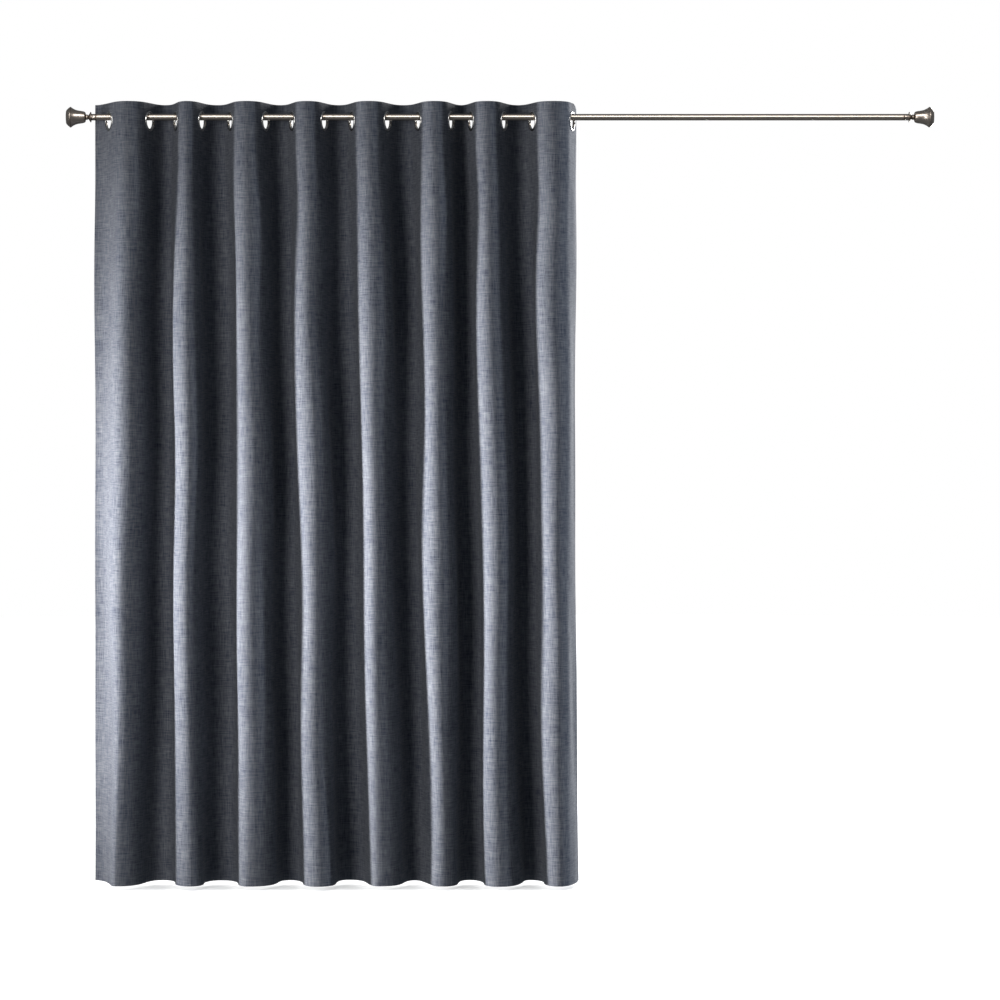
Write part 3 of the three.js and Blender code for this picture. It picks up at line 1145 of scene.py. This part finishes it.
class CURTAIN_OT_dress_rod(bpy.types.Operator):
    """Turn the tube and its two ferrules, and finish their screws"""

    bl_idname = "curtain.dress_rod"
    bl_label = "Dress Rod"

    def execute(self, context):
        _, metal, _ = settings_of(context)
        pewter = finish_of("brushed_pewter")
        along_x = Matrix.Rotation(math.pi / 2, 4, "Y")
        tube = turned("rod_bar", tube_outline(), metal.facets, pewter, along_x)
        fit_metal(tube, "rod", "rod_tube")
        for end, side in ENDS:
            face = max(abs(c.x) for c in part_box(f"ferrule_{end}"))
            tube_end = TUBE_HIGH.x if side > 0 else -TUBE_LOW.x
            outline = ferrule_outline(face - tube_end - FERRULE_GAP)
            place = along_rod(side * face, side)
            ferrule = turned(f"rod_ferrule_{end}", outline, metal.facets, pewter, place)
            cut_away(ferrule, screw_hole(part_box(f"set_screw_{end}")))
            fit_metal(ferrule, "rod", f"ferrule_{end}")
            for node in (f"set_screw_{end}", f"finial_stud_{end}"):
                frame["nodes"][node].material_slots[0].material = finish_of("plain_steel")
        return {"FINISHED"}


class CURTAIN_OT_dress_finials(bpy.types.Operator):
    """Turn the collar and the bell of each finial"""

    bl_idname = "curtain.dress_finials"
    bl_label = "Dress Finials"

    def execute(self, context):
        _, metal, _ = settings_of(context)
        pewter = finish_of("brushed_pewter")
        for end, side in ENDS:
            for part, shape in (("collar", collar_outline), ("bell", bell_outline)):
                low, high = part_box(f"finial_{part}_{end}")
                inner, outer = sorted((abs(low.x), abs(high.x)))
                outline = shape(inner, outer, (high.z - low.z) / 2)
                name = f"finial_{part}_shape_{end}"
                piece = turned(name, outline, metal.facets, pewter, along_rod(0, side))
                fit_metal(piece, f"finial_{end}", f"finial_{part}_{end}")
        return {"FINISHED"}


def metal_pieces():
    """The collection of metal pieces, which the strip over the rod lights."""
    name = "metal_pieces"
    return bpy.data.collections.get(name) or bpy.data.collections.new(name)


def area_light(name, place, target, size, power, color=(1, 1, 1)):
    data = bpy.data.lights.new(name, "AREA")
    data.shape = "RECTANGLE"
    data.size, data.size_y = size
    data.energy = power
    data.color = color
    light = add_object(name, data)
    light.location = place
    light.rotation_euler = (Vector(target) - Vector(place)).to_track_quat("-Z", "Y").to_euler()
    return light


FLOOR_RADIUS = 14
FLOOR_THICKNESS = 0.01
FLOOR_LIGHT = 3.0
SOFT_SPREAD = math.radians(30)
# How far the view is shifted upwards, as a share of its width
VIEW_SHIFT = -0.07


class CURTAIN_OT_set_stage(bpy.types.Operator):
    """Set the floor, the lights and the camera"""

    bl_idname = "curtain.set_stage"
    bl_label = "Set Stage"

    def execute(self, context):
        _, _, settings = settings_of(context)
        scene = context.scene
        floor_z = HEM_Z - settings.floor_gap
        low = -FLOOR_THICKNESS
        outline = [(0, low, 0), (FLOOR_RADIUS, low, 0), (FLOOR_RADIUS, 0, 0), (0, 0, 0)]
        place = Matrix.Translation((0, 0, floor_z))
        floor = turned("pale_floor_disc", outline, 64, finish_of("pale_floor"), place)
        floor.visible_diffuse = False
        floor.visible_glossy = False

        world = bpy.data.worlds.new("pale_room")
        world.use_nodes = True
        nodes, links = world.node_tree.nodes, world.node_tree.links
        backdrop = nodes["Background"]
        backdrop.inputs["Color"].default_value = (1, 1, 1, 1)
        room = nodes.new("ShaderNodeBackground")
        room.inputs["Color"].default_value = (0.80, 0.90, 1, 1)
        room.inputs["Strength"].default_value = settings.room_light
        path = nodes.new("ShaderNodeLightPath")
        seen = nodes.new("ShaderNodeMixShader")
        links.new(path.outputs["Is Camera Ray"], seen.inputs[0])
        links.new(room.outputs["Background"], seen.inputs[1])
        links.new(backdrop.outputs["Background"], seen.inputs[2])
        links.new(seen.outputs["Shader"], nodes["World Output"].inputs["Surface"])
        scene.world = world
        scene.view_settings.view_transform = "Standard"

        # Each light's name, place, target, width and height, power and tint
        lights = (
            ("key_left", (-5.5, -1.25, -1.2), (4.2, 0, -1.22), (0.9, 0.9), settings.key_power),
            (
                "rim_right", (5.0, -0.25, -0.75), (0.3, 0, -0.9), (0.6, 2.0), settings.rim_power,
                (0.82, 0.90, 1),
            ),
            ("fill_left", (-3.7, -5.9, -0.7), (0, 0, -1.0), (2.0, 3), settings.fill_power),
            ("behind_right", (3.2, 6.0, 0.4), (0, 0, -1.0), (2.5, 3), settings.back_power),
            ("over_rod", (0, -4.4, 2.6), (0, 0, 0), (7, 1.7), settings.rod_power),
        )
        key, rim, _, behind, over_rod = [area_light(*light) for light in lights]
        key.data.spread = SOFT_SPREAD
        for light in (key, rim):
            light.visible_glossy = False
        for light in (behind, over_rod):
            light.visible_camera = False
        over_floor = add_object("over_floor", bpy.data.lights.new("over_floor", "SUN"))
        over_floor.data.energy = FLOOR_LIGHT
        over_floor.data.angle = SOFT_SPREAD
        over_floor.location = (0, 0, 3)
        floor_only = bpy.data.collections.new("floor_only")
        floor_only.objects.link(floor)
        over_floor.light_linking.receiver_collection = floor_only
        over_rod.light_linking.receiver_collection = metal_pieces()

        data = bpy.data.cameras.new("front_camera")
        data.sensor_width = 36
        data.lens = settings.distance * data.sensor_width / settings.view_width
        data.shift_y = VIEW_SHIFT
        data.clip_end = 100
        camera = add_object("front_camera", data)
        camera.location = (0, -settings.distance, -settings.eye_below_rod)
        camera.rotation_euler = (math.pi / 2, 0, 0)
        scene.camera = camera
        return {"FINISHED"}


OPERATORS = (
    CURTAIN_OT_set_stage,
    CURTAIN_OT_dress_rod,
    CURTAIN_OT_dress_finials,
    CURTAIN_OT_fit_grommets,
    CURTAIN_OT_hang_cloth,
    CURTAIN_OT_hang_lining,
    CURTAIN_OT_sew_hems,
)


class CURTAIN_PT_panel(bpy.types.Panel):
    """The steps that dress the curtain, in order"""

    bl_idname = "CURTAIN_PT_panel"
    bl_label = "Grommet Curtain"
    bl_space_type = "VIEW_3D"
    bl_region_type = "UI"
    bl_category = "Curtain"

    def draw(self, context):
        for settings in settings_of(context):
            column = self.layout.column(align=True)
            for name in settings.__annotations__:
                column.prop(settings, name)
        for operator in OPERATORS:
            self.layout.operator(operator.bl_idname)


CLASSES = (ClothSettings, MetalSettings, StageSettings, *OPERATORS, CURTAIN_PT_panel)


def register():
    for cls in CLASSES:
        bpy.utils.register_class(cls)
    bpy.types.Scene.curtain_cloth = PointerProperty(type=ClothSettings)
    bpy.types.Scene.curtain_metal = PointerProperty(type=MetalSettings)
    bpy.types.Scene.curtain_stage = PointerProperty(type=StageSettings)


def unregister():
    del bpy.types.Scene.curtain_stage
    del bpy.types.Scene.curtain_metal
    del bpy.types.Scene.curtain_cloth
    for cls in reversed(CLASSES):
        bpy.utils.unregister_class(cls)


def main():
    register()
    for operator in OPERATORS:
        family, name = operator.bl_idname.split(".")
        getattr(getattr(bpy.ops, family), name)()


if __name__ == "__main__":
    main()
